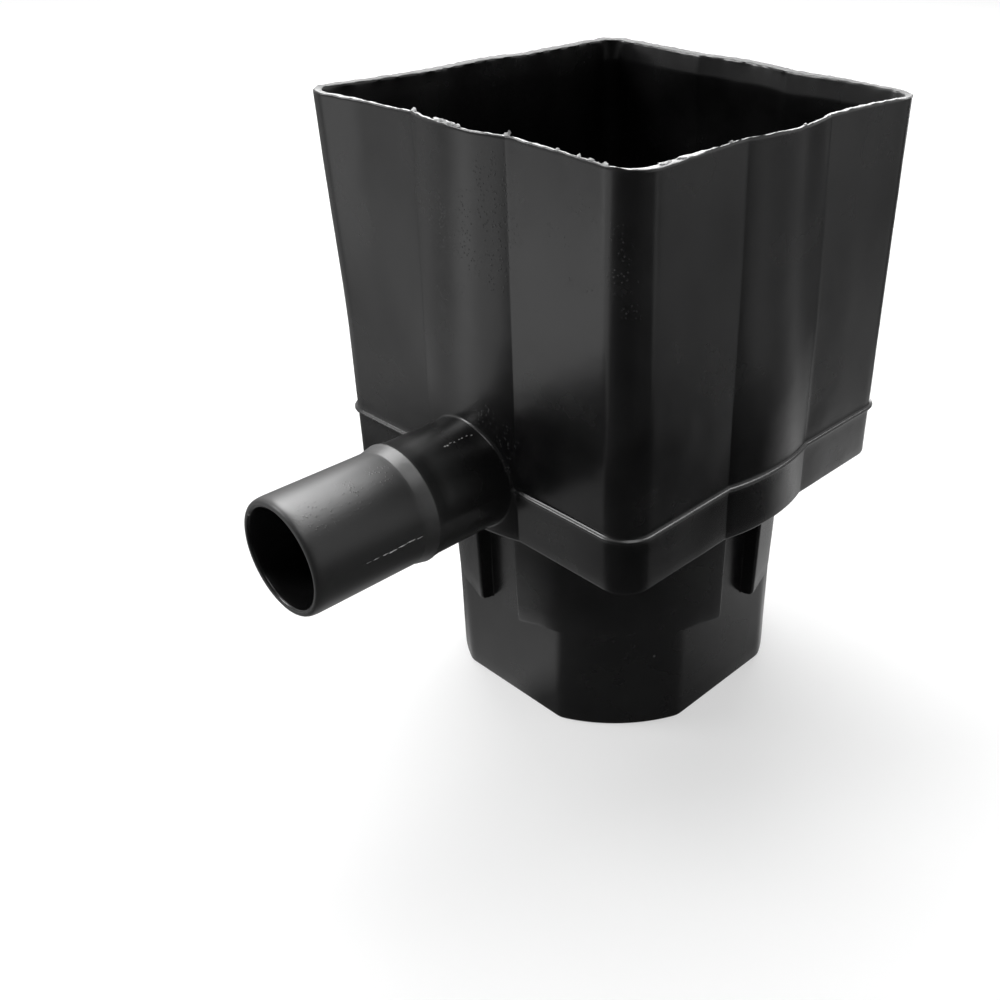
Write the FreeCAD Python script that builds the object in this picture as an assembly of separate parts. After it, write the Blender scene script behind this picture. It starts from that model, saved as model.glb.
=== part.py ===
import FreeCAD, Part
import math
import os

V = FreeCAD.Vector

# Driving sizes, mm.
WALL = 1.6              # shell thickness

# Body: open square mouth, tapering a little down to the parting bead
WAIST_HALF = 37.4       # axis to a flat, outside, at the bead and below it
MOUTH_FLARE = 0.3       # how much more it is at the rim
MOUTH_BOW = 1.6         # how far each side is drawn in at the rim
WAIST_BOW = 0.2         # and at the bead
CORNER_R = 5.5          # upright corners
BULGE_HALF_W = 11.4     # round bulge in each side, half its width
BULGE_RISE = 1.7        # how far its crown stands off the side
CREASE_R = 1.0          # soft crease at each edge of a bulge
BODY_H = 59.5           # bead up to the rim
FLOOR_GAP = 0.2         # outlet's root clear above the shelf's underside
SHELF_EDGE = 0.5        # bevel round the underside

# Parting bead round the body
BEAD_RISE = 0.8
BEAD_H = 1.5
BEAD_CREST = 0.4

# Lower spigot, plain at its end, with four stop lobes above
SHELF_STEP = 5.3        # from the body's side in to the round part
FLAT_DEPTH = 2.7        # each of four flats cut into the round part
NECK_EDGE_R = 4.0       # soft edge between flat and round
NECK_H = 21.3           # plain length below the lobes
LOBE_H = 23.1           # lobes, up to the shelf
LOBE_FLATTER = 3.9      # radius of a lobe's outer face, over that of the round part
LOBE_PROUD_TOP = 1.0    # how far it stands off the round part, under the shelf
LOBE_PROUD_END = 0.3    # and at its lower end
LOBE_SLOPE = 0.8        # rise of the sloped lower end, mm for each mm outward
CHANNEL_HALF_W = 5.0    # gap between two lobes
LOBE_BEVEL = 0.7        # on a lobe's edges at the gap
SLOPE_WALL = 0.7        # how the slope is set back inside, to the wall's thickness

# Side outlet
OUTLET_R = 10.2         # tube, outside
OUTLET_WALL = 1.5
ROOT_RISE = 0.2         # thicker between the collar and the body
ROOT_SUNK = 2.9         # tube begins this far inside the body's side
COLLAR_RISE = 0.6       # crest of the collar over the tube
COLLAR_OUT = 16.2       # body's side to the crest
COLLAR_RAMP = 2.2       # slope on the tube's side
COLLAR_BACK = 1.6       # slope on the body's side
OUTLET_LEN = 39.5       # body's side to the open end
LEAD_LEN = 2.2          # lead-in at the open end
LEAD_DROP = 0.5

# Sizes that follow from those
MOUTH_HALF = WAIST_HALF + MOUTH_FLARE
NECK_R = WAIST_HALF - SHELF_STEP
NECK_FLAT = NECK_R - FLAT_DEPTH
LOBE_R = NECK_R + LOBE_FLATTER
ROOT_R = OUTLET_R + ROOT_RISE
COLLAR_R = OUTLET_R + COLLAR_RISE
ROOT_START = WAIST_HALF - ROOT_SUNK
COLLAR_AT = WAIST_HALF + COLLAR_OUT
OUTLET_END = WAIST_HALF + OUTLET_LEN
CHAMBER_H = ROOT_R + FLOOR_GAP      # bead down to the shelf

# Heights; the lower spigot's open end is at 0
Z_LOBES = NECK_H
Z_SHELF = NECK_H + LOBE_H
Z_BEAD = Z_SHELF + CHAMBER_H
Z_RIM = Z_BEAD + BODY_H
OVER = 1.0              # how far cutting shapes run past an open end


def polar(c, r, a):
    return c[0] + r * math.cos(a), c[1] + r * math.sin(a)


def body_wire(half, bow, inset, z):
    """Body outline at height z: drawn-in sides, round bulges, corners.

    Every arc keeps its centre when the outline moves in by the inset, so
    inner and outer outlines stay parallel.
    """
    side_r = (half ** 2 + bow ** 2) / (2 * bow)
    side_y = -(half - bow) - side_r
    bulge_r = (BULGE_HALF_W ** 2 + BULGE_RISE ** 2) / (2 * BULGE_RISE)
    bulge_y = -(half - bow + BULGE_RISE) + bulge_r
    # centre of the crease's arc: outside the bulge, inside the side's circle
    d1, d2 = bulge_r + CREASE_R, side_r - CREASE_R
    cy = (bulge_y ** 2 - side_y ** 2 - d1 ** 2 + d2 ** 2) / (2 * (bulge_y - side_y))
    cx = math.sqrt(d1 ** 2 - (cy - bulge_y) ** 2)
    # centre of the corner's arc, on the diagonal: (k, -k)
    s = side_r + CORNER_R
    k = (-side_y - math.sqrt(2 * s ** 2 - side_y ** 2)) / 2
    bulge_a = math.atan2(cy - bulge_y, cx)              # bulge to crease
    side_a = math.atan2(cy - side_y, cx)                # side to crease
    corner_a = math.atan2(-k - side_y, k)               # side to corner
    crease = ((cx, cy), CREASE_R + inset, bulge_a + math.pi, side_a)
    side = ((0, side_y), side_r + inset, side_a, corner_a)

    def three(c, r, a0, a1):
        return [polar(c, r, a) for a in (a0, (a0 + a1) / 2, a1)]

    def mirrored(pts):
        return [(-x, y) for x, y in reversed(pts)]
    quarter = [
        mirrored(three(*side)), mirrored(three(*crease)),
        three((0, bulge_y), bulge_r - inset, -math.pi - bulge_a, bulge_a),
        three(*crease), three(*side),
        three((k, -k), CORNER_R - inset, corner_a - math.pi, math.pi / 2 - corner_a),
    ]
    edges = []
    for q in range(4):
        c, s = round(math.cos(q * math.pi / 2)), round(math.sin(q * math.pi / 2))
        for pts in quarter:
            p = [V(x * c - y * s, x * s + y * c, z) for x, y in pts]
            edges.append(Part.Arc(*p).toShape())
    return Part.Wire(edges)


def loft(*wires):
    return Part.makeLoft(list(wires), True, True)


def body(inset, z0, z1, edge=0.0):
    """Body block: straight below the bead, tapering above it.

    The edge bevels its underside.
    """
    t = (z1 - Z_BEAD) / BODY_H
    half = WAIST_HALF + (MOUTH_HALF - WAIST_HALF) * t
    bow = WAIST_BOW + (MOUTH_BOW - WAIST_BOW) * t
    wires = [body_wire(WAIST_HALF, WAIST_BOW, inset, z0 + edge),
             body_wire(WAIST_HALF, WAIST_BOW, inset, Z_BEAD),
             body_wire(half, bow, inset, z1)]
    if edge:
        wires.insert(0, body_wire(WAIST_HALF, WAIST_BOW, inset + edge, z0))
    return loft(*wires)


def bead():
    """Raised parting bead with a narrow crest."""
    rows = [(0.4, -BEAD_H / 2), (-BEAD_RISE, -BEAD_CREST / 2),
            (-BEAD_RISE, BEAD_CREST / 2), (0.4, BEAD_H / 2)]
    return loft(*[body_wire(WAIST_HALF, WAIST_BOW, i, Z_BEAD + dz) for i, dz in rows])


def neck(inset, z0, z1):
    """Plain end of the lower spigot: a round tube with four soft-edged flats."""
    r, f, e = NECK_R - inset, NECK_FLAT - inset, NECK_EDGE_R
    cx, cy = math.sqrt((r - e) ** 2 - (f - e) ** 2), -(f - e)
    a = math.atan2(cy, cx)
    wires = []
    for z in (z0, z1):
        edges = []
        for q in range(4):
            c, s = round(math.cos(q * math.pi / 2)), round(math.sin(q * math.pi / 2))

            def at(x, y):
                return V(x * c - y * s, x * s + y * c, z)
            soft = [polar((cx, cy), e, t) for t in (-math.pi / 2, (a - math.pi / 2) / 2, a)]
            edges.append(Part.makeLine(at(-cx, -f), at(cx, -f)))
            edges.append(Part.Arc(*[at(*p) for p in soft]).toShape())
            edges.append(Part.Arc(*[at(*polar((0, 0), r, t))
                                    for t in (a, -math.pi / 4, -math.pi / 2 - a)]).toShape())
            edges.append(Part.Arc(*[at(-y, -x) for x, y in reversed(soft)]).toShape())
        wires.append(Part.Wire(edges))
    return loft(*wires)


def lobe_wire(reach, inset, z):
    """Outline of the four lobes and the gaps between them.

    Each lobe shows a wide arc to its diagonal, bevelled off at the gaps.
    """
    r, w, f = LOBE_R - inset, CHANNEL_HALF_W + inset, NECK_FLAT - inset
    bevel = LOBE_BEVEL if inset < LOBE_BEVEL else 0.0
    d = (LOBE_R - reach) * math.sqrt(0.5)               # the arc's centre is (-d, d)
    x0 = w + bevel
    y0 = d - math.sqrt(r * r - (x0 + d) ** 2)
    a = math.atan2(y0 - d, x0 + d)
    edges = []
    for q in range(4):
        c, s = round(math.cos(q * math.pi / 2)), round(math.sin(q * math.pi / 2))

        def at(x, y):
            return V(x * c - y * s, x * s + y * c, z)
        line = [(-w, -f), (w, -f), (w, y0 + bevel), (x0, y0)]
        line = [p for i, p in enumerate(line) if i == 0 or p != line[i - 1]]
        edges += [Part.makeLine(at(*p), at(*t)) for p, t in zip(line, line[1:])]
        edges.append(Part.Arc(*[at(*polar((-d, d), r, t))
                                for t in (a, -math.pi / 4, -math.pi / 2 - a)]).toShape())
        back = [(-y, -x) for x, y in reversed(line[1:])]
        edges += [Part.makeLine(at(*p), at(*t)) for p, t in zip(back, back[1:])]
    return Part.Wire(edges)


def lobes(inset, over):
    """The four stop lobes, sloped underneath, up to the shelf and over it."""
    z0, top = Z_LOBES, lobe_wire(NECK_R + LOBE_PROUD_TOP, inset, Z_SHELF)
    block = loft(lobe_wire(NECK_R + LOBE_PROUD_END, inset, z0 - 2), top)
    block = block.fuse(Part.Face(top).extrude(V(0, 0, over)))
    low = z0 + inset * SLOPE_WALL                       # keeps the sloped wall's thickness
    r0, rise = NECK_R - inset - 0.2, 8.0
    r1 = r0 + rise / LOBE_SLOPE
    cone = Part.makeCone(r0, r1, rise, V(0, 0, low))
    return block.common(cone.fuse(Part.makeCylinder(r1, LOBE_H + over, V(0, 0, low + rise))))


def outlet(rows):
    """Solid turned about the outlet's axis; rows are (radius, distance)."""
    out = None
    for (r0, y0), (r1, y1) in zip(rows, rows[1:]):
        at, way = V(0, -y0, Z_BEAD), V(0, -1, 0)
        if abs(r0 - r1) < 1e-6:
            p = Part.makeCylinder(r0, y1 - y0, at, way)
        else:
            p = Part.makeCone(r0, r1, y1 - y0, at, way)
        out = p if out is None else out.fuse(p)
    return out


outer = body(0, Z_SHELF, Z_RIM, SHELF_EDGE).fuse(bead())
outer = outer.fuse(lobes(0, OVER)).fuse(neck(0, 0, Z_SHELF + OVER))
outer = outer.fuse(outlet([
    (ROOT_R, ROOT_START), (ROOT_R, COLLAR_AT - COLLAR_BACK), (COLLAR_R, COLLAR_AT),
    (OUTLET_R, COLLAR_AT + COLLAR_RAMP), (OUTLET_R, OUTLET_END - LEAD_LEN),
    (OUTLET_R - LEAD_DROP, OUTLET_END)]))

inner = body(WALL, Z_SHELF + WALL, Z_RIM + OVER)
inner = inner.fuse(lobes(WALL, WALL + OVER)).fuse(neck(WALL, -OVER, Z_SHELF + WALL + OVER))
bore = OUTLET_R - OUTLET_WALL
inner = inner.fuse(outlet([(bore, ROOT_START), (bore, OUTLET_END + OVER)]))

shape = outer.cut(inner).removeSplitter().Solids[0]

os.makedirs("parts", exist_ok=True)
shape.exportStep("parts/diverter_body.step")
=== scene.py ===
import math
import bpy
import numpy as np
from mathutils import Matrix, Vector, noise


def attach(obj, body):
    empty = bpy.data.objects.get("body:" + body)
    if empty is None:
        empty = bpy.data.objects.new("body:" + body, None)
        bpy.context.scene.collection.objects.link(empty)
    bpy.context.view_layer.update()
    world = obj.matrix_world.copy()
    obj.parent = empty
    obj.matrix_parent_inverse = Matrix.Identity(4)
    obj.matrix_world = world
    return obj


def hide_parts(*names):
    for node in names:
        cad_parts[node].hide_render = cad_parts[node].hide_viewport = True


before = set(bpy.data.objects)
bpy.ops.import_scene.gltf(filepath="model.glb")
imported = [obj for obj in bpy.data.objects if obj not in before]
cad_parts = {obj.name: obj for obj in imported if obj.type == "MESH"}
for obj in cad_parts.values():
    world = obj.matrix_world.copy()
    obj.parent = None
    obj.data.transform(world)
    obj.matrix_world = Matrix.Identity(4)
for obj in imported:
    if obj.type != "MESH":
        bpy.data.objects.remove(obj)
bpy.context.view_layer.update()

# Sizes of the moulding, mm. Half-widths and radii run from the axis; a bow is how far a side is
# drawn in. They are the CAD part's, but for the slimmer bead and for the spigot (neck and lobes),
# which is half a millimetre larger in radius, as the photograph's outline asks.
WALL = 1.6
WAIST_HALF, WAIST_BOW = 37.4, 0.2           # at the bead
MOUTH_HALF, MOUTH_BOW = 37.7, 1.6           # at the rim
CORNER_R, BULGE_HALF_W, BULGE_RISE, CREASE_R = 5.5, 11.4, 1.7, 1.0
BULGE_R = (BULGE_HALF_W ** 2 + BULGE_RISE ** 2) / (2 * BULGE_RISE)
NECK_R, NECK_FLAT, NECK_EDGE_R = 32.65, 29.85, 4.0
LOBE_R, LOBE_TOP, LOBE_END = 36.0, 33.25, 32.67     # a lobe's own radius, and its reach at each end
LOBE_SLOPE, LOBE_DROP = 0.8, 0.6            # rise of the lower end outwards, and its drop at a channel
SLOPE_WALL = 0.7                            # how the slope is set back inside, to the wall's thickness
CHANNEL = 5.0                               # half of a channel's width
FOOT_R_OUT, EDGE_R_OUT = 0.1, 0.5           # roundings of a channel's foot and edge, outside
FOOT_R_IN, EDGE_R_IN = 2.0, 0.3             # and inside
Z_LOBES, Z_SHELF, Z_BEAD, Z_RIM = 21.3, 44.4, 55.0, 114.5
SHELF_EDGE, END_ROUND = 0.6, 0.5            # roundings of the shelf's edges and of the lower end
OUTLET_R, ROOT_R, BORE_R = 10.2, 10.4, 8.7
COLLAR_AT, OUTLET_END = 53.6, 76.9          # from the axis
FILLET = 0.5                                # where the outlet meets the wall
PARTING = 0.06                              # how far the mould's line stands off the outlet
HOLE_R = 9.6                                # hole in the wall behind the outlet

# Profiles, mm: how far out of the wall and up from its middle for the bead, and how far off the
# tube and along it for the collar and for the rounded lip of the open end
BEAD = ((0, 0.9), (0.03, 0.6), (0.14, 0.42), (0.36, 0.3), (0.56, 0.18), (0.64, 0.05),
        (0.64, -0.05), (0.56, -0.18), (0.36, -0.3), (0.14, -0.42), (0.03, -0.6), (0, -0.9))
COLLAR = ((0.03, -2.0), (0.1, -1.3), (0.2, -0.6), (0.3, -0.15), (0.33, -0.04), (0.34, 0.04),
          (0.32, 0.14), (0.22, 0.6), (0.11, 1.1), (0.0, 1.6), (-0.11, 2.1), (-0.18, 2.42),
          (-0.2, 2.52), (-0.2, 2.7))
LIP = ((0.0, -1.9), (0.02, -1.4), (0.07, -0.95), (0.15, -0.6), (0.27, -0.32), (0.44, -0.12),
       (0.64, -0.02), (0.86, 0.0), (1.08, -0.02), (1.28, -0.1), (1.41, -0.25), (1.48, -0.5))

# The cut rim, mm
NICKS_FADE = 1.2                            # how far down its nicks are felt in the walls
RIM_THIN, RIM_MORE = 0.6, 1.35              # wall at the front, and how much more at the back
CUT_RISE = 0.10                             # crown of the cut face


def arc(c, r, a0, a1, n):
    """n + 1 points of an arc, both ends in."""
    a = np.linspace(a0, a1, n + 1)
    return np.stack([c[0] + r * np.cos(a), c[1] + r * np.sin(a)], 1)


def rise(x, a, b):
    """Smooth step from 0 at a to 1 at b."""
    t = np.clip((np.asarray(x, float) - a) / (b - a), 0, 1)
    return t * t * (3 - 2 * t)


def wander(x, y, z, size, seed):
    """Smooth noise between about -1 and 1, with features of that size in mm."""
    return noise.noise(Vector((x / size + seed * 7.3, y / size - seed * 3.1, z / size + seed)))


def around(half):
    """A full ring from an eighth of it: x = 0 on the -Y side up to the corner."""
    quarter = np.concatenate([(half * (-1, 1))[::-1][:-1], half[:-1]])
    rings = []
    for q in range(4):
        c, s = round(math.cos(q * math.pi / 2)), round(math.sin(q * math.pi / 2))
        rings.append(np.stack([quarter[:, 0] * c - quarter[:, 1] * s,
                               quarter[:, 0] * s + quarter[:, 1] * c], 1))
    return np.concatenate(rings)


def taper(z):
    """0 at the bead and below it, 1 at the rim."""
    return max(0.0, (z - Z_BEAD) / (Z_RIM - Z_BEAD))


def body_eighth(half, bow, inset):
    """Bulge, crease, drawn-in side and corner, as parallel arcs."""
    side_r = (half ** 2 + bow ** 2) / (2 * bow)
    side_y = -(half - bow) - side_r
    bulge_y = -(half - bow + BULGE_RISE) + BULGE_R
    d1, d2 = BULGE_R + CREASE_R, side_r - CREASE_R
    cy = (bulge_y ** 2 - side_y ** 2 - d1 ** 2 + d2 ** 2) / (2 * (bulge_y - side_y))
    cx = math.sqrt(d1 ** 2 - (cy - bulge_y) ** 2)
    s = side_r + CORNER_R
    k = (-side_y - math.sqrt(2 * s ** 2 - side_y ** 2)) / 2
    bulge_a = math.atan2(cy - bulge_y, cx)
    close_a = bulge_a - 0.045                               # finer steps from here to the crease
    side_a = math.atan2(cy - side_y, cx)
    corner_a = math.atan2(-k - side_y, k)
    return np.concatenate([
        arc((0, bulge_y), BULGE_R - inset, -math.pi / 2, close_a, 15)[:-1],
        arc((0, bulge_y), BULGE_R - inset, close_a, bulge_a, 9)[:-1],
        arc((cx, cy), CREASE_R + inset, bulge_a + math.pi, side_a, 6)[:-1],
        arc((0, side_y), side_r + inset, side_a, corner_a, 32)[:-1],
        arc((k, -k), CORNER_R - inset, corner_a - math.pi, -math.pi / 4, 12)])


OUTLINES = {}


def body_ring(z, inset):
    """Body outline at height z, (n, 3)."""
    key = round(inset, 4)
    if key not in OUTLINES:
        OUTLINES[key] = (around(body_eighth(WAIST_HALF, WAIST_BOW, inset)),
                         around(body_eighth(MOUTH_HALF, MOUTH_BOW, inset)))
    waist, mouth = OUTLINES[key]
    p = waist + (mouth - waist) * taper(z)
    return np.column_stack([p, np.full(len(p), z)])


def lobe_eighth(inset):
    """Channel floor, channel wall and lobe: their outlines at the shelf and at the lobes' lower
    end, the neck's outline point for point, and the height of the lower edge at each point."""
    f, w = NECK_FLAT - inset, CHANNEL + inset
    r_in, r_out = (FOOT_R_IN, EDGE_R_IN) if inset else (FOOT_R_OUT, EDGE_R_OUT)

    def level(reach):
        r, d = LOBE_R - inset, (LOBE_R - reach) * math.sqrt(0.5)
        cx = w + r_out                                      # the edge's centre, inside the lobe
        cy = d - math.sqrt((r - r_out) ** 2 - (cx + d) ** 2)
        a = math.atan2(cy - d, cx + d)
        return np.concatenate([
            np.stack([np.linspace(0, w - r_in, 7), np.full(7, -f)], 1)[:-1],
            arc((w - r_in, -f - r_in), r_in, math.pi / 2, 0, 5)[:-1],
            np.stack([np.full(6, w), np.linspace(-f - r_in, cy, 6)], 1)[:-1],
            arc((cx, cy), r_out, math.pi, 2 * math.pi + a, 8)[:-1],
            arc((-d, d), r, a, -math.pi / 4, 26)])
    top, end = level(LOBE_TOP), level(LOBE_END)
    r, e = NECK_R - inset, NECK_EDGE_R - inset
    cx, cy = math.sqrt((r - e) ** 2 - (f - e) ** 2), -(f - e)
    a = math.atan2(cy, cx)
    # the neck's outline, taken for each point at its own angle round the axis
    fine = np.concatenate([[[0, -f]], arc((cx, cy), e, -math.pi / 2, a, 40)[:-1],
                           arc((0, 0), r, a, -math.pi / 4, 60)])
    fine_a = np.arctan2(fine[:, 0], -fine[:, 1])
    ang = np.maximum.accumulate(np.arctan2(top[:, 0], -top[:, 1]) + np.arange(len(top)) * 1e-5)
    ang = ang / ang[-1] * math.pi / 4
    neck = np.stack([np.interp(ang, fine_a, fine[:, 0]), np.interp(ang, fine_a, fine[:, 1])], 1)
    flat = top[:, 0] <= w + 1e-9
    neck[flat] = np.stack([np.minimum(top[flat, 0], w), np.full(flat.sum(), -f)], 1)
    soft = 0.5                                              # rounding where the edge meets a channel
    away = np.clip(w + soft - end[:, 0], 0, soft)
    edge = Z_LOBES + inset * SLOPE_WALL + soft - np.sqrt(soft ** 2 - away ** 2)
    edge = edge - LOBE_DROP * (1 - rise(end[:, 0], w, w + 5))
    reach = np.hypot(end[:, 0], end[:, 1])
    edge = edge + LOBE_SLOPE * np.maximum(0, reach - (NECK_R - inset - 0.2))
    return top, end, neck, edge


def lobe_rings(inset, z_top, z_low):
    """Rings from the shelf down over the lobes and the plain end."""
    top, end, neck, edge = lobe_eighth(inset)
    low = Z_LOBES + inset * SLOPE_WALL
    rows = []
    for i in range(len(top)):
        def at(z):
            t = (z - low) / (Z_SHELF - low)
            return end[i] + (top[i] - end[i]) * t
        d = np.linalg.norm(end[i] - neck[i])
        way = (end[i] - neck[i]) / max(d, 1e-9)
        zb, zn = edge[i], min(edge[i], low + (edge[i] - low) * 0.9)
        r1, r2 = min(1.0, d * 0.5), min(0.6, d * 0.45)
        if inset:                                           # the wall's other side
            r1, r2 = r2, r1
        col = [(*at(z), z) for z in np.linspace(z_top, zb + r1 + 0.05, 7)]
        for b in np.linspace(0, math.pi / 2, 7):            # outer lower edge
            p = end[i] - way * r1 * (1 - math.cos(b))
            col.append((*p, zb + r1 - r1 * math.sin(b)))
        for b in np.linspace(0, math.pi / 2, 7):            # inner corner
            p = neck[i] + way * r2 * (1 - math.sin(b))
            col.append((*p, zn - r2 + r2 * math.cos(b)))
        for z in np.linspace(zn - r2 - 0.05, z_low, 8):
            col.append((*neck[i], z))
        rows.append(col)
    rows = np.array(rows)                                   # (points, rings, 3)
    rings = []
    for k in range(rows.shape[1]):
        xy = around(rows[:, k, :2])
        z = np.tile(np.concatenate([rows[::-1, k, 2][:-1], rows[:-1, k, 2]]), 4)
        rings.append(np.column_stack([xy, z]))
    return rings


def moved(ring, outwards, z):
    """A copy of a ring at another height, its points moved out from the axis."""
    r = ring.copy()
    reach = np.hypot(r[:, 0], r[:, 1])
    r[:, :2] *= ((reach + outwards) / reach)[:, None]
    r[:, 2] = z
    return r


UNCUT, CUT = 0, 1                           # the two materials' numbers


class Skin:
    """Collects vertices and faces, with a material number for each face."""

    def __init__(self):
        self.v, self.f, self.m, self.n = [], [], [], 0

    def add(self, ring):
        self.v.append(np.asarray(ring, float))
        self.n += len(ring)
        return np.arange(self.n - len(ring), self.n)

    def bridge(self, a, b, mat=UNCUT, flip=False):
        n = len(a)
        for i in range(n):
            j = (i + 1) % n
            q = (a[i], a[j], b[j], b[i])
            self.f.append(q[::-1] if flip else q)
            self.m.append(mat)

    def rings(self, rings, mat=UNCUT, flip=False):
        ids = [self.add(r) for r in rings]
        for a, b in zip(ids, ids[1:]):
            self.bridge(a, b, mat, flip)
        return ids

    def join(self, a, b, flip=False):
        """Fills the flat band between two rings of different counts."""
        pts = np.concatenate(self.v)
        turn = [np.unwrap(np.arctan2(pts[r][:, 1], pts[r][:, 0])) for r in (a, b)]
        turn = [np.maximum.accumulate(t) for t in turn]
        # both rings start on the same diagonal
        ta, tb = turn[0] - turn[0][0], turn[1] - turn[1][0]
        ta, tb = np.append(ta, 2 * math.pi), np.append(tb, 2 * math.pi)
        i = j = 0
        na, nb = len(a), len(b)
        while i < na or j < nb:
            if j >= nb or (i < na and ta[i + 1] <= tb[j + 1]):
                t = (a[i % na], a[(i + 1) % na], b[j % nb])
                i += 1
            else:
                t = (a[i % na], b[(j + 1) % nb], b[j % nb])
                j += 1
            self.f.append(t[::-1] if flip else t)
            self.m.append(UNCUT)


def rim_height(x, y):
    """The knife-cut rim: waves of three sizes, a dip at one corner and a swell on the -Y side."""
    waves = (0.16 * wander(x, y, 0, 24, 1) + 0.10 * wander(x, y, 0, 7, 2)
             + 0.12 * wander(x, y, 0, 1.7, 3))
    dip = -0.45 * float(rise(x + y, 56, 72))
    swell = 0.2 * float(rise(-y, 20, 36)) * float(rise(x, -20, 0) - rise(x, 30, 40))
    return waves + dip + swell


def rim_wall(x, y, down):
    """Wall thickness at so far down from the rim: more at the back, and beside one corner."""
    rear = float(rise(y - x, -50, 50))
    corner = 0.95 * float(rise(x, 33, 37) * (1 - rise(y, -27, -16)))
    nicks = 0.22 * wander(x, y, 5, 2.2, 6) + corner
    return RIM_THIN + RIM_MORE * rear + 0.25 * wander(x, y, 5, 9, 4) + nicks * math.exp(-down / 0.6)


def shape_body(ring, z):
    """Three corners of the real moulding lean, more towards the rim; one crease is sharper."""
    p = ring.copy()
    up = float(rise(z, 62, Z_RIM + 8)) * 1.05
    deep = float(rise(z, 56, 62) - rise(z, 90, 104))
    for i in range(len(p)):
        x, y = p[i, 0], p[i, 1]
        left = float(rise(-x - y, 60, 76)) * 1.3
        right = float(rise(x + y, 60, 76)) * 0.55
        rear = float(rise(y - x, 60, 76)) * 0.5
        p[i, :2] += (right - left + rear) * up
        if x > 30 and y > 0:                                # beside the +X bulge
            p[i, 0] -= 0.17 * float(rise(y, 11.05, 11.8) - rise(y, 12.5, 22)) * deep
    return p


skin = Skin()

# Outside, from the rim down to the shelf
outer = []
zs = np.concatenate([[Z_RIM, Z_RIM - 0.12, Z_RIM - 0.5, Z_RIM - 1.2, Z_RIM - 2.4],
                     np.linspace(Z_RIM - 4.5, Z_BEAD + 1.6, 26)])
for k, z in enumerate(zs):
    r = shape_body(body_ring(z, 0.0 if k else 0.10), z)
    fade = math.exp(-(Z_RIM - z) / NICKS_FADE)
    r[:, 2] += [rim_height(x, y) * fade for x, y in r[:, :2]]
    outer.append(r)
for stand, dz in BEAD:
    outer.append(body_ring(Z_BEAD + dz, -stand))
for z in np.linspace(Z_BEAD - 2.0, Z_SHELF + SHELF_EDGE, 6):
    outer.append(body_ring(z, 0))
for a in np.linspace(0, math.pi / 2, 6)[1:]:
    outer.append(body_ring(Z_SHELF + SHELF_EDGE * (1 - math.sin(a)), SHELF_EDGE * (1 - math.cos(a))))
out_ids = skin.rings(outer, flip=True)

# Lobes and plain end, with the rounded root under the shelf and the rounded lower end
spigot = lobe_rings(0, Z_SHELF - SHELF_EDGE, END_ROUND)
root = [moved(spigot[0], SHELF_EDGE * (1 - math.cos(a)), Z_SHELF - SHELF_EDGE * (1 - math.sin(a)))
        for a in np.linspace(0, math.pi / 2, 5)[::-1][:-1]]
tip = [moved(spigot[-1], -WALL / 2 * (1 - math.cos(a)), END_ROUND * (1 - math.sin(a) ** 0.7))
       for a in np.linspace(0, math.pi, 9)[1:-1]]
bore = lobe_rings(WALL, Z_SHELF + WALL - 0.3, END_ROUND)[::-1]
low_ids = skin.rings(root + spigot + tip + bore, flip=True)
skin.join(out_ids[-1], low_ids[0], flip=True)

# Inside, from the shelf up to the rim
inner = []
for a in np.linspace(0, math.pi / 2, 5):
    inner.append(body_ring(Z_SHELF + WALL + 0.5 - 0.5 * math.cos(a), WALL + 0.5 - 0.5 * math.sin(a)))
for z in np.linspace(Z_SHELF + WALL + 2, Z_RIM - 16, 14):
    inner.append(shape_body(body_ring(z, WALL), z))
for down in (13, 10, 7.5, 5.5, 4.6, 4.0, 3.6, 3.2, 2.6, 2.0, 1.4, 0.9, 0.5, 0.1):
    z = Z_RIM - down
    r = shape_body(body_ring(z, WALL), z)
    o = shape_body(body_ring(z, 0), z)
    way = o[:, :2] - r[:, :2]
    for i in range(len(r)):
        x, y = o[i, :2]
        # thicker under a short lead-in, most of all at the back
        lead = 3.7 + 0.5 * wander(x, y, 0, 11, 5)
        lip = (0.75 * float(rise(y + 0.5 * x, 5, 30)) + 0.1) * min(1.0, down / lead)
        t = float(rise(z, Z_RIM - 15, Z_RIM - 4.5))
        r[i, :2] -= way[i] / WALL * (rim_wall(x, y, down) - WALL + lip) * t
        r[i, 2] += rim_height(x, y) * math.exp(-down / NICKS_FADE)
    inner.append(r)
in_ids = skin.rings(inner, flip=True)
skin.join(low_ids[-1], in_ids[0], flip=True)

# The cut face of the rim
face = []
for k, t in enumerate((0.92, 0.7, 0.45, 0.25, 0.12)):
    r = inner[-1] + (outer[0] - inner[-1]) * (1 - t)
    for i in range(len(r)):
        r[i, 2] += CUT_RISE * (1 + wander(*r[i, :2], k, 0.9, 8))
    face.append(r)
order = [in_ids[-1]] + [skin.add(r) for r in face] + [out_ids[0]]
for a, b in zip(order, order[1:]):
    skin.bridge(a, b, UNCUT if b is out_ids[0] else CUT, flip=True)


def burr(at, size, seed, lean=0.0):
    """A crumb of torn plastic: an uneven ball, its top leaning to +X."""
    n, rows = 10, []
    for k in range(7):
        h = math.cos(math.pi * k / 6)
        w = math.sin(math.pi * k / 6) + 0.02
        row = []
        for i in range(n):
            a = 2 * math.pi * i / n
            g = 1 + 0.8 * wander(w * math.cos(a), w * math.sin(a), h, 0.6, seed)
            row.append((at[0] + size[0] * w * math.cos(a) * g + lean * h,
                        at[1] + size[1] * w * math.sin(a) * g, at[2] + size[2] * h * g))
        rows.append(np.array(row))
    skin.rings(rows, CUT, flip=True)


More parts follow.
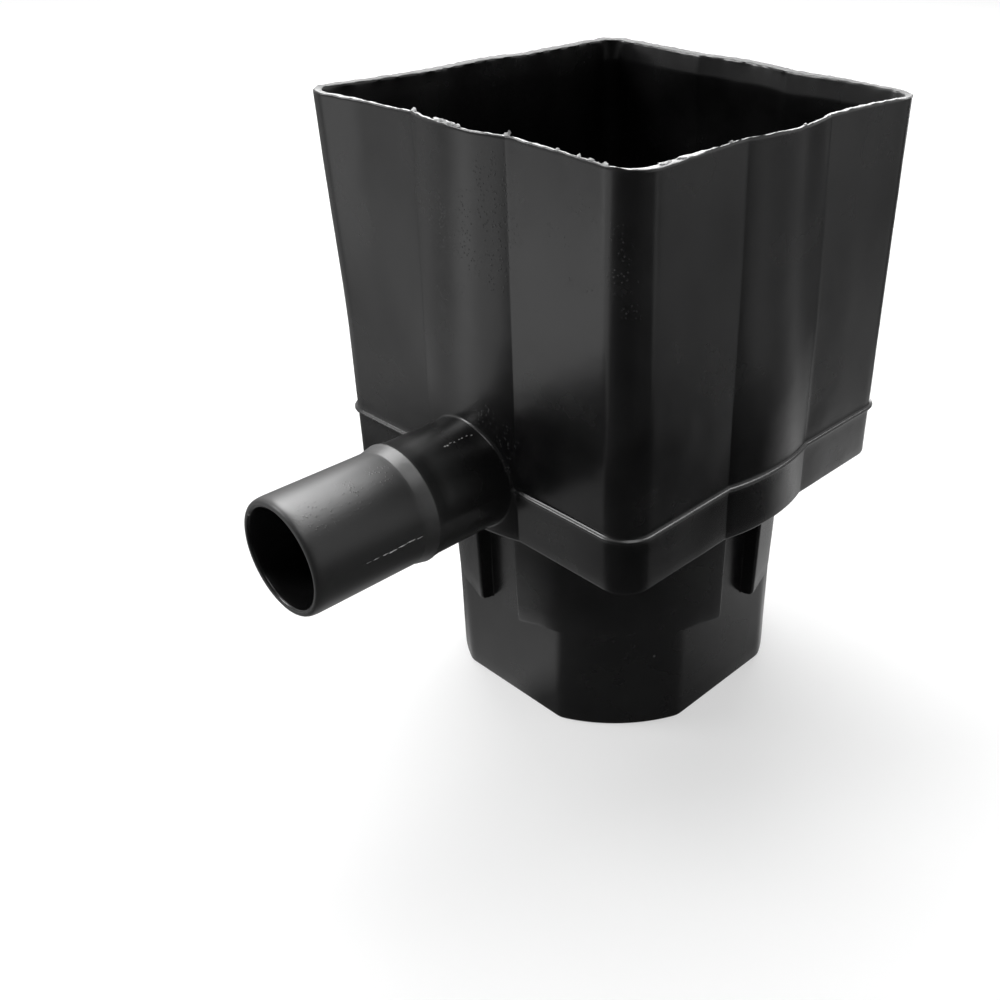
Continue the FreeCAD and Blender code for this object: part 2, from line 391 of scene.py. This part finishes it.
def on_rim(side, along, inward):
    """Point of the cut face, on the -Y (0) or +X (1) side."""
    ring = face[2]
    way = face[4] - face[0]
    ok = ring[:, 1] < -30 if side == 0 else ring[:, 0] > 30
    i = np.argmin(np.where(ok, np.abs(ring[:, side] - along), 99))
    return ring[i] - way[i] * inward + (0, 0, 0.1)


# Burrs on the rim: side, place along it, share of the wall inwards, half sizes, lean
for side, s, inward, size, lean in (
        (0, -11.4, 0.3, (0.5, 0.3, 0.35), 0.15), (0, -10.6, 0.2, (0.35, 0.25, 0.25), 0.2),
        (0, -3.6, 0.1, (0.8, 0.25, 0.25), 0), (0, -2.2, 0.3, (0.6, 0.35, 0.4), 0.1),
        (0, -0.8, 0.1, (0.9, 0.3, 0.35), -0.1), (0, 0.6, 0.2, (0.6, 0.3, 0.4), 0),
        (0, 1.9, 0.1, (0.7, 0.25, 0.22), 0), (0, 11.1, 0.1, (0.35, 0.3, 0.6), 0.35),
        (0, 11.0, 0.0, (0.55, 0.3, 0.35), 0), (0, 22.0, 0, (0.3, 0.2, 0.2), 0),
        (0, 26.3, 0, (0.25, 0.2, 0.4), 0.1), (0, 29.0, 0, (0.6, 0.22, 0.2), 0),
        (0, 31.8, 0.2, (0.5, 0.25, 0.3), 0.1),
        (1, -30.0, 0, (0.3, 1.3, 0.15), 0), (1, -26.4, -0.1, (0.4, 0.9, 0.2), 0.1),
        (1, -15.0, 0, (0.2, 0.5, 0.2), 0), (1, 2.0, 0, (0.2, 0.4, 0.15), 0)):
    burr(on_rim(side, s, inward), size, s * 3.7 + 140, lean)


def on_tube(turn, y, r):
    """Point on the outlet, turned from the top towards +X by so many degrees."""
    a = math.radians(turn)
    return (r * math.sin(a), -y, Z_BEAD + r * math.cos(a))


# Flash along the mould's parting line, and a torn streak on the root
for y, half in ((57.6, 0.7), (59.1, 1.0), (61.0, 1.2), (62.9, 1.0), (64.4, 0.8), (65.9, 0.9),
                (67.4, 0.6)):
    burr(on_tube(92 + 1.2 * wander(y, 0, 0, 1.5, 31), y, OUTLET_R - 0.03), (0.12, half, 0.11), y)
for y in (46.2, 45.7, 44.9, 44.1, 43.0, 42.4, 41.3, 40.4):
    burr(on_tube(22 + 2 * wander(y, 0, 0, 0.9, 32), y, ROOT_R - 0.03), (0.13, 0.24, 0.07), y)

# The wall is open where the outlet's bore goes through
pts = np.concatenate(skin.v)
keep_f, keep_m = [], []
for f, m in zip(skin.f, skin.m):
    c = pts[list(f)].mean(0)
    behind_outlet = c[1] < -34 and math.hypot(c[0], c[2] - Z_BEAD) < HOLE_R
    if not behind_outlet:
        keep_f.append(f)
        keep_m.append(m)
skin.f, skin.m = keep_f, keep_m


def wall_y(x, z, inset):
    """How far out the bulge's surface lies, on the outlet's side."""
    waist, mouth = [-(half - bow + BULGE_RISE) + BULGE_R - math.sqrt((BULGE_R - inset) ** 2 - x * x)
                    for half, bow in ((WAIST_HALF, WAIST_BOW), (MOUTH_HALF, MOUTH_BOW))]
    return waist + (mouth - waist) * taper(z)


# Outlet, turned about its axis, with a fillet on the wall
TURN = 144
phis = np.arange(TURN) * 2 * math.pi / TURN


def tube_ring(r, y, line=0.0):
    """Ring of the tube; the parting line stands proud on its two sides."""
    rr = r + line * np.exp(-((np.abs(np.sin(phis)) - 1) / 0.0012) ** 2)
    return np.stack([rr * np.sin(phis), np.full(TURN, -y), Z_BEAD + rr * np.cos(phis)], 1)


fillet = []
for b in np.linspace(0, math.pi / 2, 8):
    ring = []
    for p in phis:
        # it shrinks where the tube comes near the shelf's edge
        f = min(FILLET, max(0.05, (Z_BEAD + ROOT_R * math.cos(p) - Z_SHELF - 0.5) * 0.6))
        rho = ROOT_R + f - f * math.sin(b)
        x, z = rho * math.sin(p), Z_BEAD + rho * math.cos(p)
        y = wall_y(x, max(z, Z_SHELF), 0) - f * (1 - math.cos(b)) + (0.04 if b == 0 else 0)
        ring.append((x, y, z))
    fillet.append(np.array(ring))
tube = fillet
tube += [tube_ring(ROOT_R, y, PARTING) for y in np.linspace(41.2, COLLAR_AT - 2.2, 8)]
tube += [tube_ring(ROOT_R + dr, COLLAR_AT + dy, PARTING) for dr, dy in COLLAR]
tube += [tube_ring(OUTLET_R, y, PARTING) for y in np.linspace(COLLAR_AT + 3.4, OUTLET_END - 3.0, 14)]
tube += [tube_ring(OUTLET_R - dr, OUTLET_END + dy) for dr, dy in LIP]
tube += [tube_ring(BORE_R, y) for y in np.linspace(OUTLET_END - 2, 37.2, 16)]
inner_end = []                              # laid on the inside of the wall, round the bore
for rho, off in ((BORE_R, 0.35), (BORE_R + 0.08, 0.1), (BORE_R + 0.3, -0.05), (BORE_R + 1.6, -0.05)):
    ring = []
    for p in phis:
        x, z = rho * math.sin(p), Z_BEAD + rho * math.cos(p)
        ring.append((x, wall_y(x, z, WALL) - off, max(z, Z_SHELF + WALL + 0.02)))
    inner_end.append(np.array(ring))
skin.rings(tube + inner_end)

# One mesh
pts = np.concatenate(skin.v)
mesh = bpy.data.meshes.new("diverter_moulding")
mesh.from_pydata((pts * 0.001).tolist(), [], [tuple(int(i) for i in f) for f in skin.f])
mesh.polygons.foreach_set("material_index", skin.m)
mesh.polygons.foreach_set("use_smooth", [True] * len(mesh.polygons))
mesh.update()

# Blown plastic is never quite flat: slow waves in both skins alike, but not in the outlet
co = np.empty(len(mesh.vertices) * 3)
mesh.vertices.foreach_get("co", co)
co = co.reshape(-1, 3)
axis_way = co.copy()
axis_way[:, 2] = 0
axis_way /= np.maximum(np.linalg.norm(axis_way, axis=1), 1e-6)[:, None]
tube_part = co[:, 1] < -0.0405
for i in range(len(co)):
    x, y, z = co[i] * 1000
    if not tube_part[i] and z > 1:                          # and none at the lower end
        w = 0.17 * wander(x, y, z, 19, 11) + 0.035 * wander(x, y, z, 6, 12)
        co[i] += axis_way[i] * w * 0.001 * min(1.0, (z - 1) / 6)
mesh.vertices.foreach_set("co", co.ravel())
mesh.set_sharp_from_angle(angle=math.radians(50))
mesh.update()
moulding = bpy.data.objects.new("diverter_moulding", mesh)
bpy.context.scene.collection.objects.link(moulding)


def nodes_of(name):
    m = bpy.data.materials.new(name)
    m.use_nodes = True
    nt = m.node_tree
    return m, nt, nt.nodes["Principled BSDF"]


def link(nt, a, b):
    nt.links.new(a, b)


def node(nt, kind, **set_to):
    n = nt.nodes.new(kind)
    for k, v in set_to.items():
        if k.startswith("i_"):
            n.inputs[k[2:].replace("_", " ")].default_value = v
        else:
            setattr(n, k, v)
    return n


def ramp(nt, src, stops):
    n = nt.nodes.new("ShaderNodeValToRGB")
    els = n.color_ramp.elements
    while len(els) < len(stops):
        els.new(0.5)
    for e, (p, c) in zip(els, stops):
        e.position = p
        e.color = (c, c, c, 1) if not isinstance(c, tuple) else (*c, 1)
    link(nt, src, n.inputs["Fac"])
    return n.outputs["Color"]


def math_node(nt, op, a, b):
    n = nt.nodes.new("ShaderNodeMath")
    n.operation = op
    for i, s in enumerate((a, b)):
        if isinstance(s, (int, float)):
            n.inputs[i].default_value = s
        else:
            link(nt, s, n.inputs[i])
    return n.outputs[0]


# Black blow-moulded plastic: satin, mottled, pitted in patches, with a few dust specks
plastic, nt, bsdf = nodes_of("black_plastic")
where = node(nt, "ShaderNodeTexCoord").outputs["Object"]


def tex(kind, scale, **kw):
    n = node(nt, kind, **kw)
    n.inputs["Scale"].default_value = scale
    link(nt, where, n.inputs["Vector"])
    return n


def patch_at(x, y, z, r):
    """1 at a place on the part (mm), fading to 0 at the distance r."""
    d = node(nt, "ShaderNodeVectorMath", operation="DISTANCE")
    link(nt, where, d.inputs[0])
    d.inputs[1].default_value = (x / 1000, y / 1000, z / 1000)
    return ramp(nt, math_node(nt, "MULTIPLY", d.outputs["Value"], 1000 / r),
                [(0.0, 1.0), (0.45, 0.8), (1.0, 0.0)])


# Where the pits are: place and radius, mm. On the -Y bulge, at its near crease, on the near
# corner, by the outlet's root and on the sleeve; there is also a ring of them on the panel.
PITTED = ((8.5, -38, 108, 6), (9.5, -38, 101, 6), (8.5, -38, 94, 5), (-6, -38, 100, 7), (1, -38, 96, 6),
          (-2, -38, 88, 6), (4, -38, 103, 5), (33, -37, 103, 4), (34, -36, 99, 3.5), (35, -35, 94, 2.5),
          (5, -38, 67.5, 3.5), (10, -38, 64.5, 4), (11.5, -37, 60, 4), (12.5, -37, 56, 3),
          (3.8, -59, 64.5, 3), (5.1, -66, 63.8, 4), (5.7, -72.5, 63.6, 4), (22, -37, 103, 4))

mottle = tex("ShaderNodeTexNoise", 55, i_Detail=4.0, i_Roughness=0.6)
slow = tex("ShaderNodeTexNoise", 130, i_Detail=2.0)


def dots(cells, share, size):
    """Dots in some of a Voronoi texture's cells. share: cell values with no dot up to the first,
    and a full one from the second; size: solid up to the first distance, gone at the second."""
    pick = ramp(nt, cells.outputs["Color"], [(0.0, 0.0), (share[0], 0.0), (share[1], 1.0), (1.0, 1.0)])
    dot = ramp(nt, cells.outputs["Distance"], [(0.0, 1.0), (size[0], 0.9), (size[1], 0.0), (1.0, 0.0)])
    return math_node(nt, "MULTIPLY", pick, dot)


halo = math_node(nt, "SUBTRACT", patch_at(27.5, -37, 103, 10), patch_at(27.5, -37, 102, 6))
where_pits = ramp(nt, halo, [(0.0, 0.0), (1.0, 1.0)])
for spot in PITTED:
    where_pits = math_node(nt, "MAXIMUM", where_pits, patch_at(*spot))
pit = dots(tex("ShaderNodeTexVoronoi", 1900, i_Randomness=1.0), (0.35, 0.5), (0.12, 0.34))
pit = math_node(nt, "MULTIPLY", pit, where_pits)
speck = dots(tex("ShaderNodeTexVoronoi", 170, i_Randomness=1.0), (0.80, 0.81), (0.03, 0.06))
base = ramp(nt, mottle.outputs["Fac"], [(0.3, (0.003, 0.003, 0.0032)), (0.72, (0.0105, 0.0105, 0.0107))])

# The outlet's outside from its root to its open end is less shiny, and painted paler: a painted sheen
# that stands in for the bright room the sleeve mirrors, where the root mirrors only the dark body
split = node(nt, "ShaderNodeSeparateXYZ")
link(nt, where, split.inputs[0])
outwards = math_node(nt, "MULTIPLY", split.outputs["Y"], -10)       # 0.1 m is 1
from_centre = node(nt, "ShaderNodeVectorMath", operation="SUBTRACT")
link(nt, where, from_centre.inputs[0])
from_centre.inputs[1].default_value = (0, 0, Z_BEAD / 1000)
across = node(nt, "ShaderNodeVectorMath", operation="MULTIPLY")
link(nt, from_centre.outputs[0], across.inputs[0])
across.inputs[1].default_value = (1, 0, 1)
from_axis = node(nt, "ShaderNodeVectorMath", operation="LENGTH")    # the outlet's axis
link(nt, across.outputs[0], from_axis.inputs[0])
outside = ramp(nt, math_node(nt, "MULTIPLY", from_axis.outputs["Value"], 50),
               [(0.0, 0.0), (0.455, 0.0), (0.48, 1.0), (1.0, 1.0)])
sleeve = ramp(nt, outwards, [(0.0, 0.0), (0.42, 0.0), (0.52, 0.5), (0.54, 0.9), (1.0, 1.0)])
sleeve = math_node(nt, "MULTIPLY", sleeve, outside)
# painted sheen: the sleeve's paler colour stands in for reflected light
sleeve_painted_sheen = node(nt, "ShaderNodeMix", data_type="RGBA")
link(nt, math_node(nt, "MULTIPLY", sleeve, 0.7), sleeve_painted_sheen.inputs["Factor"])
link(nt, base, sleeve_painted_sheen.inputs[6])
sleeve_painted_sheen.inputs[7].default_value = (0.024, 0.024, 0.024, 1)

# Paler still: specks and pits, and a painted highlight on the upper half of the collar's slope
collar = ramp(nt, math_node(nt, "ADD", outwards, -0.05),
              [(0.0, 0.0), (0.483, 0.0), (0.487, 1.0), (0.503, 0.8), (0.52, 0.0)])
upper = ramp(nt, math_node(nt, "MULTIPLY", split.outputs["Z"], 10),
             [(0.0, 0.0), (0.53, 0.0), (0.6, 1.0), (1.0, 1.0)])
# painted highlight: only the lit upper half of the collar's slope is made paler
collar = math_node(nt, "MULTIPLY", math_node(nt, "MULTIPLY", collar, upper), 0.3)
light = math_node(nt, "ADD", math_node(nt, "MULTIPLY", speck, 0.4), math_node(nt, "MULTIPLY", pit, 0.22))
mix = node(nt, "ShaderNodeMix", data_type="RGBA")
link(nt, math_node(nt, "ADD", light, collar), mix.inputs["Factor"])
link(nt, sleeve_painted_sheen.outputs[2], mix.inputs[6])
mix.inputs[7].default_value = (0.18, 0.18, 0.18, 1)
link(nt, mix.outputs[2], bsdf.inputs["Base Color"])

rough = math_node(nt, "ADD", math_node(nt, "MULTIPLY", mottle.outputs["Fac"], 0.2),
                  math_node(nt, "MULTIPLY", sleeve, 0.14))
link(nt, math_node(nt, "ADD", rough, 0.155), bsdf.inputs["Roughness"])
height = math_node(nt, "MULTIPLY", slow.outputs["Fac"], 0.55)
height = math_node(nt, "SUBTRACT", height, math_node(nt, "MULTIPLY", speck, 0.4))
height = math_node(nt, "ADD", height, math_node(nt, "MULTIPLY", pit, 0.55))
bump = node(nt, "ShaderNodeBump", i_Strength=0.4, i_Distance=0.0003)
link(nt, height, bump.inputs["Height"])
link(nt, bump.outputs["Normal"], bsdf.inputs["Normal"])
bsdf.inputs["IOR"].default_value = 1.5

# The knife-cut rim: dragged and rough, and paler in front than behind; the paler front is a painted
# highlight
cut, nt, bsdf = nodes_of("black_plastic_cut")
where = node(nt, "ShaderNodeTexCoord").outputs["Object"]
drag = tex("ShaderNodeTexNoise", 1500, i_Detail=5.0)
broad = tex("ShaderNodeTexNoise", 160, i_Detail=3.0)
tone = math_node(nt, "ADD", math_node(nt, "MULTIPLY", drag.outputs["Fac"], 0.4),
                 math_node(nt, "MULTIPLY", broad.outputs["Fac"], 0.6))
level = node(nt, "ShaderNodeVectorMath", operation="DOT_PRODUCT")
link(nt, where, level.inputs[0])
level.inputs[1].default_value = (-10, 10, 0)
behind = ramp(nt, math_node(nt, "ADD", level.outputs["Value"], 0.5),
              [(0.0, 0.0), (0.4, 0.0), (0.52, 1.0), (1.0, 1.0)])
# painted highlight: the front of the cut face takes the paler tone, the back the darker one
cut_tone_lit_front = node(nt, "ShaderNodeMix", data_type="RGBA")
link(nt, behind, cut_tone_lit_front.inputs["Factor"])
link(nt, ramp(nt, tone, [(0.34, (0.12, 0.12, 0.121)), (0.58, (0.66, 0.66, 0.66))]), cut_tone_lit_front.inputs[6])
link(nt, ramp(nt, tone, [(0.36, (0.08, 0.08, 0.081)), (0.62, (0.16, 0.16, 0.16))]), cut_tone_lit_front.inputs[7])
link(nt, ramp(nt, behind, [(0.0, 0.5), (1.0, 0.12)]), bsdf.inputs["Specular IOR Level"])
link(nt, cut_tone_lit_front.outputs[2], bsdf.inputs["Base Color"])
bsdf.inputs["Roughness"].default_value = 0.45
bump = node(nt, "ShaderNodeBump", i_Strength=0.5, i_Distance=0.0002)
link(nt, drag.outputs["Fac"], bump.inputs["Height"])
link(nt, bump.outputs["Normal"], bsdf.inputs["Normal"])

mesh.materials.append(plastic)
mesh.materials.append(cut)
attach(moulding, "root")
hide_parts("diverter_body")

# Directions as the camera of the photograph has them: to_eye from the part to the camera, near
# the same on the level, right to its right
AZIMUTH, ELEVATION, ROLL = math.radians(41.971), math.radians(31.206), math.radians(0.973)
to_eye = Vector((math.sin(AZIMUTH) * math.cos(ELEVATION), -math.cos(AZIMUTH) * math.cos(ELEVATION),
                 math.sin(ELEVATION)))
right = (-to_eye).cross(Vector((0, 0, 1))).normalized()
up = right.cross(-to_eye)
near = Vector((to_eye.x, to_eye.y, 0)).normalized()

# Floor: pale, nearly white to the camera, with the part's shadow. Reflected rays see a pattern
# of greys on it instead, so the black plastic mirrors a room like the photograph's.
bpy.ops.mesh.primitive_plane_add(size=12, location=(0, 0, 0))
floor = bpy.context.object
floor.name = "floor"
pale, nt, bsdf = nodes_of("floor_pale")
bsdf.inputs["Base Color"].default_value = (0.93, 0.93, 0.93, 1)
bsdf.inputs["Roughness"].default_value = 0.9
bsdf.inputs["Specular IOR Level"].default_value = 0.1
where = node(nt, "ShaderNodeTexCoord").outputs["Object"]


def along(way):
    """Distance along a level direction, in metres."""
    d = node(nt, "ShaderNodeVectorMath", operation="DOT_PRODUCT")
    link(nt, where, d.inputs[0])
    d.inputs[1].default_value = way
    return d.outputs["Value"]


def turn(stops):
    """Brightness by the compass round the part: 0 towards the camera, 90 right, 180 behind."""
    a = math_node(nt, "ARCTAN2", along(right), along(near))
    a = math_node(nt, "ADD", math_node(nt, "MULTIPLY", a, 0.5 / math.pi), 0.5)
    return ramp(nt, a, [(d / 360 + 0.5, c) for d, c in stops])


# What the sides mirror: four rings of the floor, from close by to far out. The lower a place is
# on the part, the closer in is the ring that it mirrors.
close = turn([(-180, 0.06), (-100, 0.08), (-82, 0.14), (-66, 0.2), (-45, 0.2), (-30, 0.05),
              (-10, 0.03), (25, 0.03), (40, 0.05), (50, 0.08), (62, 0.14), (80, 0.24), (98, 0.3),
              (112, 0.18), (180, 0.1)])
midway = turn([(-180, 0.08), (-100, 0.06), (-88, 0.06), (-80, 0.14), (-72, 0.17), (-60, 0.12),
               (-53, 0.02), (-30, 0.01), (60, 0.0), (82, 0.0), (86, 0.06), (90, 0.15), (96, 0.26),
               (101, 0.38), (104, 0.5), (109, 0.4), (113, 0.2), (124, 0.25),
               (132, 0.6), (158, 1.0), (170, 0.3), (180, 0.12)])
far_out = turn([(-180, 0.1), (-122, 0.12), (-108, 0.2), (-90, 0.23), (-84, 0.26), (-76, 0.26),
                (-64, 0.16), (-58, 0.2), (-51, 0.04), (-34, 0.02), (0, 0.0), (60, 0.0), (88, 0.0),
                (92, 0.04), (97, 0.13), (102, 0.2), (104, 0.26), (106, 0.42), (108, 0.4),
                (111, 0.15), (124, 0.12), (132, 0.2), (158, 1.0), (170, 0.3), (180, 0.1)])
rim_of_it = turn([(-180, 0.1), (-122, 0.12), (-108, 0.2), (-93, 0.13), (-86, 0.4), (-80, 0.62),
                  (-70, 0.35), (-57, 0.5), (-50, 0.1), (-30, 0.03), (0, 0.02), (40, 0.05), (66, 0.05),
                  (72, 0.22), (78, 0.24), (82, 0.14), (90, 0.08), (97, 0.14), (104, 0.24),
                  (108, 0.05), (128, 0.05), (136, 0.3), (180, 0.1)])
length = node(nt, "ShaderNodeVectorMath", operation="LENGTH")
link(nt, where, length.inputs[0])
reach = length.outputs["Value"]


def blend(a, b, at, to):
    """From a at the distance `at` to b at the distance `to`, in metres."""
    n = node(nt, "ShaderNodeMix", data_type="RGBA")
    link(nt, ramp(nt, reach, [(at, 0.0), (to, 1.0)]), n.inputs["Factor"])
    link(nt, a, n.inputs[6])
    link(nt, b, n.inputs[7])
    return n.outputs[2]


glow = blend(blend(close, midway, 0.065, 0.105), far_out, 0.15, 0.168)
glow = blend(glow, rim_of_it, 0.19, 0.21)
clouds = tex("ShaderNodeTexNoise", 11, i_Detail=3.0)
glow = math_node(nt, "MULTIPLY", glow, ramp(nt, clouds.outputs["Fac"], [(0.32, 0.5), (0.68, 1.0)]))
# behind to the right lies the streak that the crease beside the +X bulge mirrors
streak = turn([(-180, 0.0), (134, 0.0), (140, 1.0), (160, 1.0), (170, 0.0), (180, 0.0)])
glow = math_node(nt, "ADD", math_node(nt, "MULTIPLY", glow, 1.33),
                 math_node(nt, "MULTIPLY", streak, 1.6))
mirrored = node(nt, "ShaderNodeEmission", i_Strength=2.5)
link(nt, glow, mirrored.inputs["Color"])
lit = node(nt, "ShaderNodeEmission", i_Strength=1.05)


def mix_shader(share, a, b):
    n = node(nt, "ShaderNodeMixShader")
    if isinstance(share, float):
        n.inputs[0].default_value = share
    else:
        link(nt, share, n.inputs[0])
    link(nt, a.outputs[0], n.inputs[1])
    link(nt, b.outputs[0], n.inputs[2])
    return n


rays = node(nt, "ShaderNodeLightPath")
seen = mix_shader(rays.outputs["Is Camera Ray"], bsdf, mix_shader(0.5, bsdf, lit))
seen = mix_shader(rays.outputs["Is Glossy Ray"], seen, mirrored)
link(nt, seen.outputs[0], nt.nodes["Material Output"].inputs["Surface"])
floor.data.materials.append(pale)

# World: bright behind the part, dim in front of it, white to the camera
world = bpy.data.worlds.new("studio")
bpy.context.scene.world = world
world.use_nodes = True
nt = world.node_tree
bg = nt.nodes["Background"]
where = node(nt, "ShaderNodeTexCoord").outputs["Generated"]
room = ramp(nt, math_node(nt, "ADD", math_node(nt, "MULTIPLY", along(-near), 0.5), 0.5),
            [(0.0, 0.04), (0.3, 0.12), (0.55, 0.45), (0.8, 0.8), (1.0, 1.0)])
side = ramp(nt, math_node(nt, "ADD", math_node(nt, "MULTIPLY", along(right), 0.5), 0.5),
            [(0.0, 0.3), (0.5, 0.0), (0.8, 0.15), (0.93, 0.8), (1.0, 0.95)])
link(nt, math_node(nt, "MAXIMUM", room, side), bg.inputs["Color"])
bg.inputs["Strength"].default_value = 1.1
white = node(nt, "ShaderNodeBackground")
white.inputs["Color"].default_value = (1, 1, 1, 1)
seen = mix_shader(node(nt, "ShaderNodeLightPath").outputs["Is Camera Ray"], bg, white)
link(nt, seen.outputs[0], nt.nodes["World Output"].inputs["Surface"])


AIM = 0.06                                  # height that the lamps point at, m


def lamp(name, kind, energy, place, size=None, angle=None, gloss_only=False):
    """A lamp at place = (right, towards the camera, up) in metres, aimed at the part."""
    d = bpy.data.lights.new(name, kind)
    d.energy = energy
    if size:
        d.shape = "RECTANGLE"
        d.size, d.size_y = size
    if angle:
        d.angle = math.radians(angle)
    o = bpy.data.objects.new(name, d)
    at = right * place[0] + near * place[1] + Vector((0, 0, place[2] + AIM))
    o.location = at
    o.rotation_euler = (Vector((0, 0, AIM)) - at).to_track_quat("-Z", "Y").to_euler()
    o.visible_diffuse = not gloss_only
    bpy.context.scene.collection.objects.link(o)


lamp("sun", "SUN", 0.5, (-0.5, -0.3, 1.0), angle=50)
lamp("window", "AREA", 7.5, (-0.05, -0.5, 0.62), size=(0.75, 0.7))
lamp("soft_box", "AREA", 15.0, (0.08, -0.36, 0.68), size=(1.1, 0.5), gloss_only=True)
lamp("soft_top", "AREA", 2.6, (0.2, 0.25, 0.9), size=(0.5, 0.5), gloss_only=True)
lamp("key_left", "AREA", 5.0, (-0.85, 0.05, 0.62), size=(0.36, 0.36))

# Camera, solved from the photograph. Its place is in half-widths of the mouth, from the mouth's
# middle: (towards the camera, right, up) as the picture lies. Its focal length is in pixels.
EYE = (5.254, 0.043, -1.865)
PICTURE_PX, FOCAL_PX, SENSOR_MM = 1000, 1156.158, 36
SHIFT = (-0.1287, 0.0001)
cam_right = right * math.cos(ROLL) + up * math.sin(ROLL)
cam_up = -right * math.sin(ROLL) + up * math.cos(ROLL)
cam_data = bpy.data.cameras.new("camera")
cam_data.sensor_width = SENSOR_MM
cam_data.lens = FOCAL_PX * SENSOR_MM / PICTURE_PX
cam_data.shift_x, cam_data.shift_y = SHIFT
cam_data.clip_start = 0.01
cam = bpy.data.objects.new("camera", cam_data)
pose = Matrix((cam_right, cam_up, to_eye)).transposed().to_4x4()
pose.translation = ((to_eye * EYE[0] + cam_right * EYE[1] + cam_up * EYE[2]) * MOUTH_HALF / 1000
                    + Vector((0, 0, Z_RIM / 1000)))
cam.matrix_world = pose
bpy.context.scene.collection.objects.link(cam)
bpy.context.scene.camera = cam
bpy.context.scene.view_settings.view_transform = "Standard"
